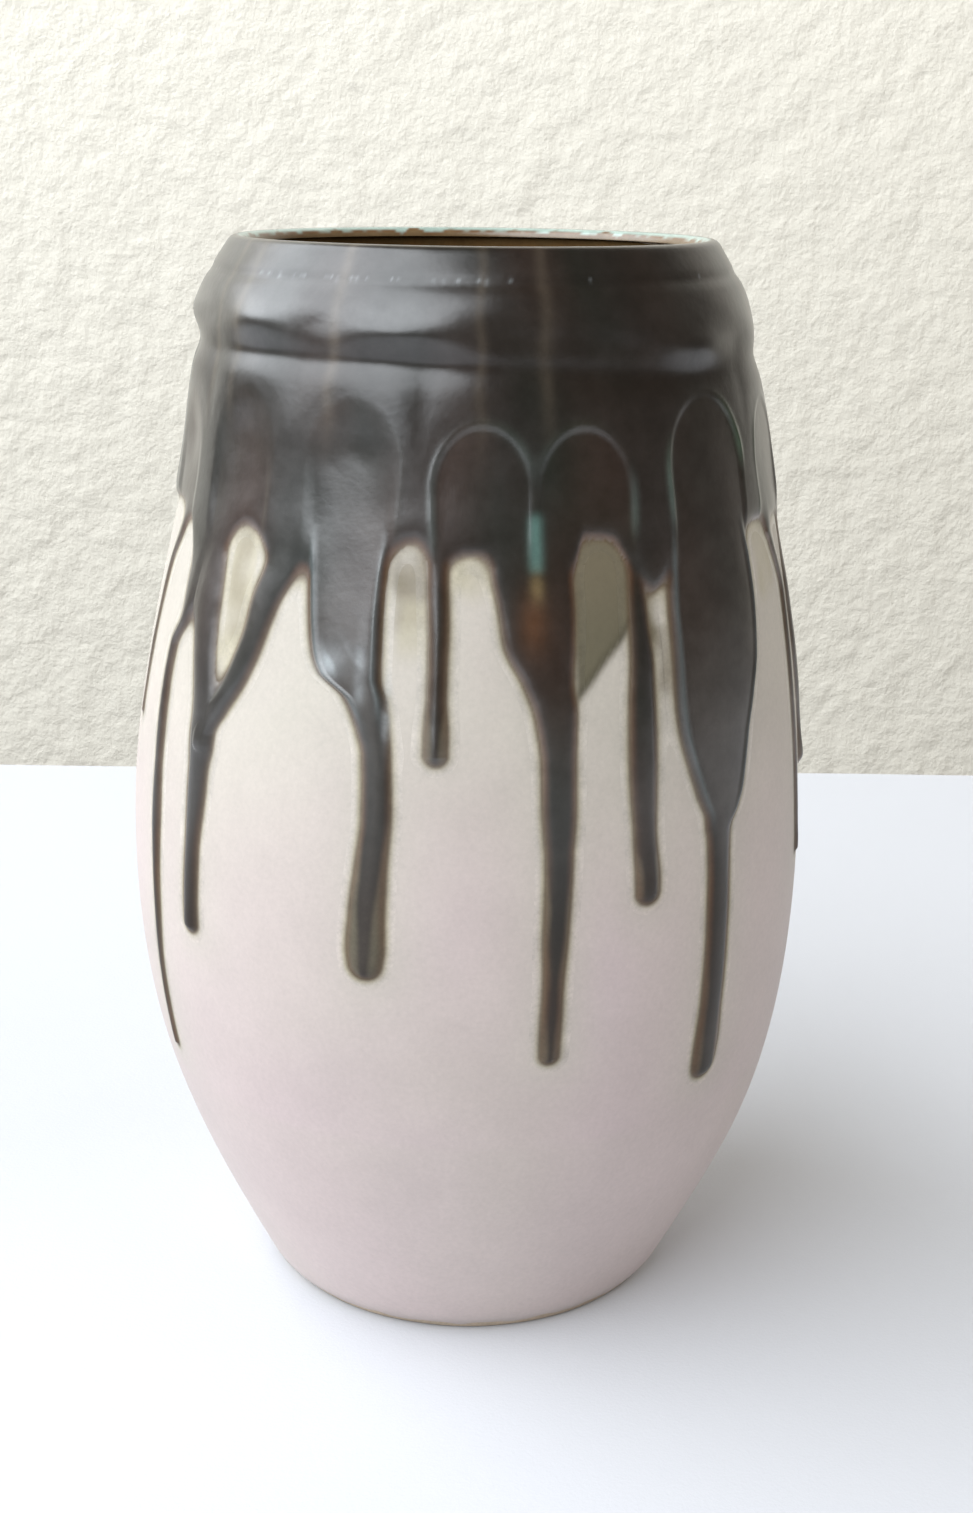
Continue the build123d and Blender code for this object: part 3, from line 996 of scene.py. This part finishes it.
# angle, width, height, reach up and down, strength
paintedHighlight = [(-22.5, 2.6, 148.5, 3.2, 0.8), (-17.8, 0.9, 146.0, 6.0, 0.5), (-13.2, 0.6, 140.0, 6.0, 0.5)]


# Painted highlight: pale grey-blue patches on the broad fourth run, where its ridge faces the window light
def paintHighlightPatches(tones, angle, height):
    ragged = smoothStep(-0.3, 0.5, waver(angle * 3, height * 4))
    for at, width, level, reach, strength in paintedHighlight:
        mask = strength * bell(turnFrom(angle, at), width) * bell(height - level, reach)
        tones = painted(tones, ("paintedHighlight", mask * (0.35 + 0.65 * ragged)))
    return tones


liner = {"columns": 300, "rows": 110, "lipRows": 12, "lipShare": 0.04, "backRows": 24, "ripple": 0.12,
         "lastRow": 0.985, "rustDrop": 1.6, "rustReach": 1.4}
insideSweeps, insideReaches = insideFromFrame()


# Inside point: t runs 0 at the lip to 1 at the floor's middle; lift mm off the liner's CAD face
def insidePoint(angle, t, lift):
    sweep = insideSweeps[0] + (insideSweeps[-1] - insideSweeps[0]) * t
    reach = np.interp(sweep, insideSweeps, insideReaches)
    d = 0.4
    change = (np.interp(sweep + d, insideSweeps, insideReaches)
              - np.interp(sweep - d, insideSweeps, insideReaches)) / math.radians(2 * d)
    turn = np.radians(sweep)
    faceTurn = turn - np.arctan2(change, reach)
    radius = reach * np.sin(turn) - lift * np.sin(faceTurn)
    level = reading["middle"] + reach * np.cos(turn) - lift * np.cos(faceTurn)
    shift = wallShift(angle, np.clip(level, 0, lipStart)) * smoothStep(20, 60, radius)
    return turned(np.maximum(radius, 0) + shift, np.radians(angle), level)


# Brown glaze inside, lighter and rusty just under the lip
def makeLinerCoat():
    columns = int(liner["columns"] * detail)
    ts = np.concatenate([np.linspace(0, liner["lipShare"], liner["lipRows"])[:-1],
                         np.linspace(liner["lipShare"], liner["lastRow"], liner["rows"])])
    angle, t = np.meshgrid(onceRound(columns), ts)
    ripple = liner["ripple"] * coatUneven(angle, t * 180)
    outer = insidePoint(angle, t, ripple)
    aside = insidePoint(angle + 0.2, t, ripple)
    onward = insidePoint(angle, np.clip(t + 0.001, 0, 1), ripple)
    outerNormals = crossed(outer - onward, aside - outer)
    few = np.linspace(0, len(ts) - 1, liner["backRows"]).astype(int)
    inner = insidePoint(angle[few], t[few], -coats["liner"])
    drop = lipInside - outer[..., 2]
    patchy = 0.6 + 0.5 * coatUneven(angle * 3, drop)
    rust = 0.5 * bell(drop - liner["rustDrop"], liner["rustReach"]) * patchy
    colour = painted(palette["linerLip"], ("linerDeep", smoothStep(2, 34, drop)), ("linerRust", rust))
    floor = insidePoint(np.zeros(1), np.array([1.0]), 0.0)[0]
    underFloor = floor - [0, 0, coats["liner"]]
    points = np.concatenate([rows(outer), rows(inner), [floor, underFloor]])
    normals = np.concatenate([rows(outerNormals), -rows(outerNormals[few]), [[0, 0, 1], [0, 0, -1]]])
    backTones = np.tile(palette["linerBack"], (inner.size // 3, 1))
    tones = np.concatenate([rows(colour), backTones, rows(colour)[:2]])
    count = len(ts) * columns
    faces = ringFaces(len(ts), columns) + ringFaces(len(few), columns, count, flip=True)
    faces += joinRings(0, count, columns)
    faces += fan(count - columns, len(points) - 2, columns)
    faces += fan(count + (len(few) - 1) * columns, len(points) - 1, columns, flip=True)
    return newPiece("liner_coat", points, faces, normals, tones, np.ones(len(points)))


foot = {"ring": 7.0, "recess": 3.0, "round": 0.8, "columns": 300, "insideRows": 60}
clayLip = {"round": 1.2, "out": 0.1, "down": 0.2, "rows": 6}


# The thrown stoneware under the glazes: outside wall, foot ring, recess, inside
def makeThrownBody():
    columns = int(foot["columns"] * detail)
    angles = onceRound(columns)
    turn = np.radians(angles)
    uneven = unevenness(61, (3, 12), 50)
    footRadius = float(wallRadius(0.0)) - coats["ground"]
    ringInside = footRadius - foot["ring"]
    recess, bevel = foot["recess"], foot["round"]
    under = [(0.02, recess), (ringInside * 0.5, recess), (ringInside - 1.0, recess),
             (ringInside - 0.3, recess - 0.3), (ringInside, recess - 1.0),
             (ringInside + 0.2, 0.5), (ringInside + 0.7, 0.05), (ringInside + 1.2, 0.0),
             (footRadius - 1.4, 0.0), (footRadius - bevel, 0.0),
             (footRadius - 0.25, 0.3), (footRadius + 0.12, bevel)]
    rings = [turned(radius + 0.15 * uneven(angles, radius * 3) * (radius > 5), turn, level)
             for radius, level in under]
    for level in spaced((1.6, 20, 1.5), (20, lipStart - 1, 3.0)):
        rings.append(outside(angles, level + 0 * angles, -coats["ground"] - 0.02))
    lipShift = wallShift(angles, lipStart + 0 * angles)
    for tilt in np.linspace(0.15, 0.85, clayLip["rows"]) * math.pi:
        wide = lipCentreRadius + clayLip["out"] + clayLip["round"] * math.cos(tilt) + lipShift
        level = lipCentreHeight - clayLip["down"] + clayLip["round"] * math.sin(tilt)
        rings.append(turned(wide, turn, level))
    for t in np.linspace(0.004, 0.99, foot["insideRows"]):
        rings.append(insidePoint(angles, t + 0 * angles, -coats["liner"] - 0.02))
    grid = np.array(rings)
    ahead = np.roll(grid, -1, axis=1) - np.roll(grid, 1, axis=1)
    normals = crossed(ahead, np.gradient(grid, axis=0))
    floor = insidePoint(np.zeros(1), np.array([1.0]), -coats["liner"])[0]
    points = np.concatenate([rows(grid), [[0, 0, recess]], [floor]])
    normals = np.concatenate([rows(normals), [[0, 0, -1]], [[0, 0, 1]]])
    faces = ringFaces(len(rings), columns) + fan(0, len(points) - 2, columns, flip=True)
    faces += fan((len(rings) - 1) * columns, len(points) - 1, columns)
    shade = 0.94 + 0.08 * uneven(np.degrees(np.arctan2(points[:, 0], -points[:, 1])), points[:, 2] * 5)
    return newPiece("thrown_body", points, faces, normals, palette["clay"] * shade[:, None],
                    np.zeros(len(points)))


def nodeGroup(name, inputs, outputs):
    group = bpy.data.node_groups.new(name, "ShaderNodeTree")
    for direction, sockets in (("INPUT", inputs), ("OUTPUT", outputs)):
        for socket in sockets:
            kind = "NodeSocketColor" if socket in ("Tone", "Colour") else "NodeSocketFloat"
            group.interface.new_socket(name=socket, in_out=direction, socket_type=kind)
    return group, group.nodes.new("NodeGroupInput"), group.nodes.new("NodeGroupOutput")


def addNode(tree, kind, values=None, **settings):
    node = tree.nodes.new(kind)
    for key, value in settings.items():
        setattr(node, key, value)
    for key, value in (values or {}).items():
        node.inputs[key].default_value = value
    return node


# Links, each from a node's output to another node's input
def wire(tree, *links):
    for source, output, target, socket in links:
        tree.links.new(source.outputs[output], target.inputs[socket])


# Fine colour mottling: soft clouds and small specks over a base tone
def buildMottle():
    group, start, end = nodeGroup("mottle", ["Tone", "Cloud Size", "Cloud Strength", "Speck Size",
                                             "Speck Strength"], ["Colour", "Clouds"])
    where = addNode(group, "ShaderNodeTexCoord")
    colour, output = start, "Tone"
    for name, fine, roughness in (("Cloud", 5.0, 0.6), ("Speck", 3.0, 0.7)):
        noise = addNode(group, "ShaderNodeTexNoise", {"Detail": fine, "Roughness": roughness})
        centred = addNode(group, "ShaderNodeMath", {1: 0.5}, operation="SUBTRACT")
        sized = addNode(group, "ShaderNodeMath", operation="MULTIPLY")
        doubled = addNode(group, "ShaderNodeMath", {1: 2.0, 2: 1.0}, operation="MULTIPLY_ADD")
        scaled = addNode(group, "ShaderNodeVectorMath", operation="SCALE")
        wire(group, (where, "Object", noise, "Vector"), (start, name + " Size", noise, "Scale"),
             (noise, "Fac", centred, 0), (centred, 0, sized, 0), (start, name + " Strength", sized, 1),
             (sized, 0, doubled, 0), (colour, output, scaled, 0), (doubled, 0, scaled, "Scale"))
        colour, output = scaled, 0
        if name == "Cloud":
            wire(group, (noise, "Fac", end, "Clouds"))
    wire(group, (colour, output, end, "Colour"))
    return group


# Small pits and slow waves of a fired glaze, as a height
def buildGlazeSkin():
    group, start, end = nodeGroup("glazeSkin", ["Wave Size", "Pit Size", "Pit Depth"], ["Height"])
    where = addNode(group, "ShaderNodeTexCoord")
    waves = addNode(group, "ShaderNodeTexNoise", {"Detail": 2.0, "Roughness": 0.5})
    pits = addNode(group, "ShaderNodeTexNoise", {"Detail": 2.0, "Roughness": 0.5})
    join = addNode(group, "ShaderNodeMath", operation="MULTIPLY_ADD")
    for noise, size in ((waves, "Wave Size"), (pits, "Pit Size")):
        wire(group, (where, "Object", noise, "Vector"), (start, size, noise, "Scale"))
    wire(group, (pits, "Fac", join, 0), (start, "Pit Depth", join, 1), (waves, "Fac", join, 2),
         (join, 0, end, "Height"))
    return group


mottle = buildMottle()
glazeSkin = buildGlazeSkin()

finishes = {
    "darkGlaze": {"cloudSize": 160.0, "cloud": 0.35, "speckSize": 1400.0, "speck": 0.25,
                  "glossRough": 0.34, "edgeRough": 0.5, "roughVary": 0.26, "ior": 1.42,
                  "coatIor": 1.66, "coatRough": 0.3, "coatPatch": 0.7,
                  "wave": 130.0, "pit": 800.0, "pitDepth": 0.4, "bump": 0.18, "bumpHeight": 0.0003},
    "paleGlaze": {"cloudSize": 60.0, "cloud": 0.1, "speckSize": 950.0, "speck": 0.11,
                  "glossRough": 0.42, "edgeRough": 0.5, "roughVary": 0.08, "ior": 1.45, "coatIor": 1,
                  "wave": 70.0, "pit": 1100.0, "pitDepth": 0.5, "bump": 0.12, "bumpHeight": 0.0003},
    "linerGlaze": {"cloudSize": 110.0, "cloud": 0.4, "speckSize": 900.0, "speck": 0.3,
                   "glossRough": 0.16, "edgeRough": 0.3, "roughVary": 0.06, "ior": 1.6, "coatIor": 1,
                   "wave": 90.0, "pit": 700.0, "pitDepth": 0.3, "bump": 0.12, "bumpHeight": 0.0003},
    "bareClay": {"cloudSize": 120.0, "cloud": 0.14, "speckSize": 1500.0, "speck": 0.35,
                 "glossRough": 0.85, "edgeRough": 0.85, "roughVary": 0.08, "ior": 1.45, "coatIor": 1,
                 "wave": 300.0, "pit": 1800.0, "pitDepth": 1.0, "bump": 0.4, "bumpHeight": 0.0004},
}


# A fired finish: painted tone with mottling, satin or gloss by depth of glaze, fine skin
def makeFinish(name):
    finish = finishes[name]
    material = bpy.data.materials.new(name)
    material.use_nodes = True
    tree = material.node_tree
    tree.nodes.clear()
    shader = addNode(tree, "ShaderNodeBsdfPrincipled", {"IOR": finish["ior"]})
    output = addNode(tree, "ShaderNodeOutputMaterial")
    baseTone = addNode(tree, "ShaderNodeAttribute", attribute_name="glazeTone")
    depth = addNode(tree, "ShaderNodeAttribute", attribute_name="glazeDepth")
    colour = addNode(tree, "ShaderNodeGroup", node_tree=mottle)
    for socket, key in (("Cloud Size", "cloudSize"), ("Cloud Strength", "cloud"),
                        ("Speck Size", "speckSize"), ("Speck Strength", "speck")):
        colour.inputs[socket].default_value = finish[key]
    skin = addNode(tree, "ShaderNodeGroup", {"Wave Size": finish["wave"], "Pit Size": finish["pit"],
                                             "Pit Depth": finish["pitDepth"]}, node_tree=glazeSkin)
    bump = addNode(tree, "ShaderNodeBump", {"Strength": finish["bump"], "Distance": finish["bumpHeight"]})
    rough = addNode(tree, "ShaderNodeMapRange",
                    {"To Min": finish["edgeRough"], "To Max": finish["glossRough"]})
    vary = addNode(tree, "ShaderNodeMath", {1: finish["roughVary"]}, operation="MULTIPLY")
    lower = addNode(tree, "ShaderNodeMath", {1: finish["roughVary"] / 2}, operation="SUBTRACT")
    total = addNode(tree, "ShaderNodeMath", operation="ADD", use_clamp=True)
    wire(tree, (baseTone, "Color", colour, "Tone"), (colour, "Colour", shader, "Base Color"),
         (depth, "Fac", rough, "Value"), (colour, "Clouds", vary, 0), (vary, 0, lower, 0),
         (rough, "Result", total, 0), (lower, 0, total, 1), (total, 0, shader, "Roughness"),
         (skin, "Height", bump, "Height"), (bump, "Normal", shader, "Normal"),
         (shader, "BSDF", output, "Surface"))
    if finish["coatIor"] > 1:
        share = addNode(tree, "ShaderNodeAttribute", attribute_name="glassyCoat")
        patchy = addNode(tree, "ShaderNodeMapRange",
                         {"From Min": 0.35, "From Max": 0.65, "To Min": finish["coatPatch"], "To Max": 1.0})
        weight = addNode(tree, "ShaderNodeMath", operation="MULTIPLY")
        wire(tree, (colour, "Clouds", patchy, "Value"), (share, "Fac", weight, 0),
             (patchy, "Result", weight, 1), (weight, 0, shader, "Coat Weight"),
             (bump, "Normal", shader, "Coat Normal"))
        shader.inputs["Coat IOR"].default_value = finish["coatIor"]
        shader.inputs["Coat Roughness"].default_value = finish["coatRough"]
    return material


materials = {name: makeFinish(name) for name in finishes}


def place(piece, material, slot, *nodes):
    piece.data.materials.append(materials[material])
    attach(piece, "root")
    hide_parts(*nodes)
    print("made", piece.name, len(piece.data.polygons), "faces")


place(makeThrownBody(), "bareClay", "bare_stoneware", "stoneware_body")
place(makeLinerCoat(), "linerGlaze", "liner_glaze", "liner_glaze")
place(makeGroundCoat(), "paleGlaze", "ground_glaze", "ground_glaze")
place(makeShoulderCoat(), "darkGlaze", "dark_glaze", "shoulder_glaze")
for runNumber in runNumbers:
    place(makeRun(runNumber), "darkGlaze", "dark_glaze", "glaze_run_" + runNumber)

# Camera, floor, backdrop and light
studio = {
    "cameraPlace": (0.0, -0.4, 0.23544), "cameraDip": 0.2989, "cameraRoll": 0.0119, "lens": 46.52,
    "shift": 0.0103, "lightsAim": (0, 0, 0.12),
    "window": {"turn": -68, "rise": 43, "distance": 2.0, "wide": 3.9, "high": 2.15, "power": 138,
               "tint": (0.9, 0.95, 1.0)},
    "roomFill": {"turn": 70, "rise": 40, "distance": 1.6, "wide": 1.6, "high": 1.2, "power": 12.0,
                 "tint": (1.0, 0.97, 0.93), "reflects": False},
    "backdropWash": {"turn": 125, "rise": 40, "distance": 1.15, "wide": 1.2, "high": 0.3, "power": 0.9,
                     "tint": (1.0, 0.99, 0.95), "aim": (0.9, 1.2, 0.15)},
    "worldTone": (1.0, 0.94, 0.86), "worldStrength": 0.14,
}


def setCamera():
    dip, roll = studio["cameraDip"], studio["cameraRoll"]
    forward = Vector((0, math.cos(dip), -math.sin(dip)))
    right = Vector((1, 0, 0))
    up = right.cross(forward)
    c, s = math.cos(roll), math.sin(roll)
    axisX, axisY = c * right + s * up, -s * right + c * up
    data = bpy.data.cameras.new("camera")
    data.lens = studio["lens"]
    data.sensor_width = 36
    data.shift_x = studio["shift"]
    data.clip_start = 0.01
    camera = addObject("camera", data)
    matrix = Matrix.Identity(4)
    for row in range(3):
        matrix[row][0], matrix[row][1] = axisX[row], axisY[row]
        matrix[row][2], matrix[row][3] = -forward[row], studio["cameraPlace"][row]
    camera.matrix_world = matrix
    bpy.context.scene.camera = camera


sheetLooks = {
    "paleCloth": {"tone": (194, 195, 199), "rough": 0.9, "grain": 1200, "bump": 0.2, "bumpHeight": 0.0004},
    "palePlaster": {"tone": (236, 231, 218), "rough": 0.9, "grain": 38, "bump": 0.6, "bumpHeight": 0.008},
}


def plainMaterial(name):
    look = sheetLooks[name]
    material = bpy.data.materials.new(name)
    material.use_nodes = True
    tree = material.node_tree
    shader = tree.nodes["Principled BSDF"]
    shader.inputs["Base Color"].default_value = (*tone(*look["tone"]), 1)
    shader.inputs["Roughness"].default_value = look["rough"]
    noise = addNode(tree, "ShaderNodeTexNoise", {"Scale": look["grain"], "Detail": 6.0, "Roughness": 0.6})
    where = addNode(tree, "ShaderNodeTexCoord")
    bump = addNode(tree, "ShaderNodeBump", {"Strength": look["bump"], "Distance": look["bumpHeight"]})
    wire(tree, (where, "Object", noise, "Vector"), (noise, "Fac", bump, "Height"),
         (bump, "Normal", shader, "Normal"))
    return material


# A sheet that the vase stands on or in front of
def stageSheet(name, points, faces, look):
    mesh = bpy.data.meshes.new(name)
    mesh.from_pydata(points, [], faces)
    mesh.polygons.foreach_set("use_smooth", np.ones(len(mesh.polygons), bool))
    mesh.materials.append(plainMaterial(look))
    addObject(name, mesh)


folds = {"size": 1.6, "front": -1.2, "end": 0.352, "cells": 260, "count": 26, "depth": 0.0035,
         "clearAround": 0.06, "fullFrom": 0.16, "wave": (0.05, 0.22), "seed": 71}
backdrop = {"behind": 1.2, "wide": 2.5, "low": -1.2, "high": 1.8}


# The cloth on the table: flat where the vase stands, shallow folds below that level elsewhere
def foldedCloth():
    xs = np.linspace(-folds["size"], folds["size"], folds["cells"])
    ys = np.linspace(folds["front"], folds["end"], folds["cells"])
    x, y = np.meshgrid(xs, ys)
    rng = np.random.default_rng(folds["seed"])
    relief = np.zeros(x.shape)
    for _ in range(folds["count"]):
        turn, wave = rng.uniform(0, math.pi), rng.uniform(*folds["wave"])
        along = x * math.cos(turn) + y * math.sin(turn)
        across = -x * math.sin(turn) + y * math.cos(turn)
        bend = 0.3 * np.sin(along / (wave * 2.5) + rng.uniform(0, 6))
        relief += wave * (1 - np.abs(np.sin(across / wave + bend * 3 + rng.uniform(0, 6)))) ** 2
    relief = relief / relief.max()
    clear = smoothStep(folds["clearAround"], folds["fullFrom"], np.hypot(x, y))
    z = -folds["depth"] * (1 - relief) * clear
    stageSheet("floor", rows(np.stack([x, y, z], -1)).tolist(), gridFaces(folds["cells"]), "paleCloth")


def gridFaces(cells):
    r, c = np.meshgrid(np.arange(cells - 1), np.arange(cells - 1), indexing="ij")
    first = (r * cells + c).ravel()
    return np.stack([first, first + 1, first + cells + 1, first + cells], -1).tolist()


def setStage():
    foldedCloth()
    back, wide, low, high = backdrop["behind"], backdrop["wide"], backdrop["low"], backdrop["high"]
    corners = [(-wide, back, low), (wide, back, low), (wide, back, high), (-wide, back, high)]
    stageSheet("backdrop", corners, [(0, 1, 2, 3)], "palePlaster")


def softLight(name, spec):
    data = bpy.data.lights.new(name, "AREA")
    data.shape = "RECTANGLE"
    data.size, data.size_y = spec["wide"], spec["high"]
    data.energy = spec["power"]
    data.color = spec["tint"]
    light = addObject(name, data)
    turn, rise = math.radians(spec["turn"]), math.radians(spec["rise"])
    aim = Vector((math.sin(turn) * math.cos(rise), -math.cos(turn) * math.cos(rise), math.sin(rise)))
    middle = Vector(studio["lightsAim"])
    light.location = middle + aim * spec["distance"]
    away = light.location - Vector(spec.get("aim", middle))
    light.rotation_euler = away.to_track_quat("Z", "Y").to_euler()
    light.visible_glossy = spec.get("reflects", True)


def setWorld():
    world = bpy.data.worlds.new("room")
    world.use_nodes = True
    background = world.node_tree.nodes["Background"]
    background.inputs["Color"].default_value = (*studio["worldTone"], 1)
    background.inputs["Strength"].default_value = studio["worldStrength"]
    bpy.context.scene.world = world


setCamera()
setStage()
for lightName in ("window", "roomFill", "backdropWash"):
    softLight(lightName, studio[lightName])
setWorld()
bpy.context.scene.view_settings.view_transform = "Standard"
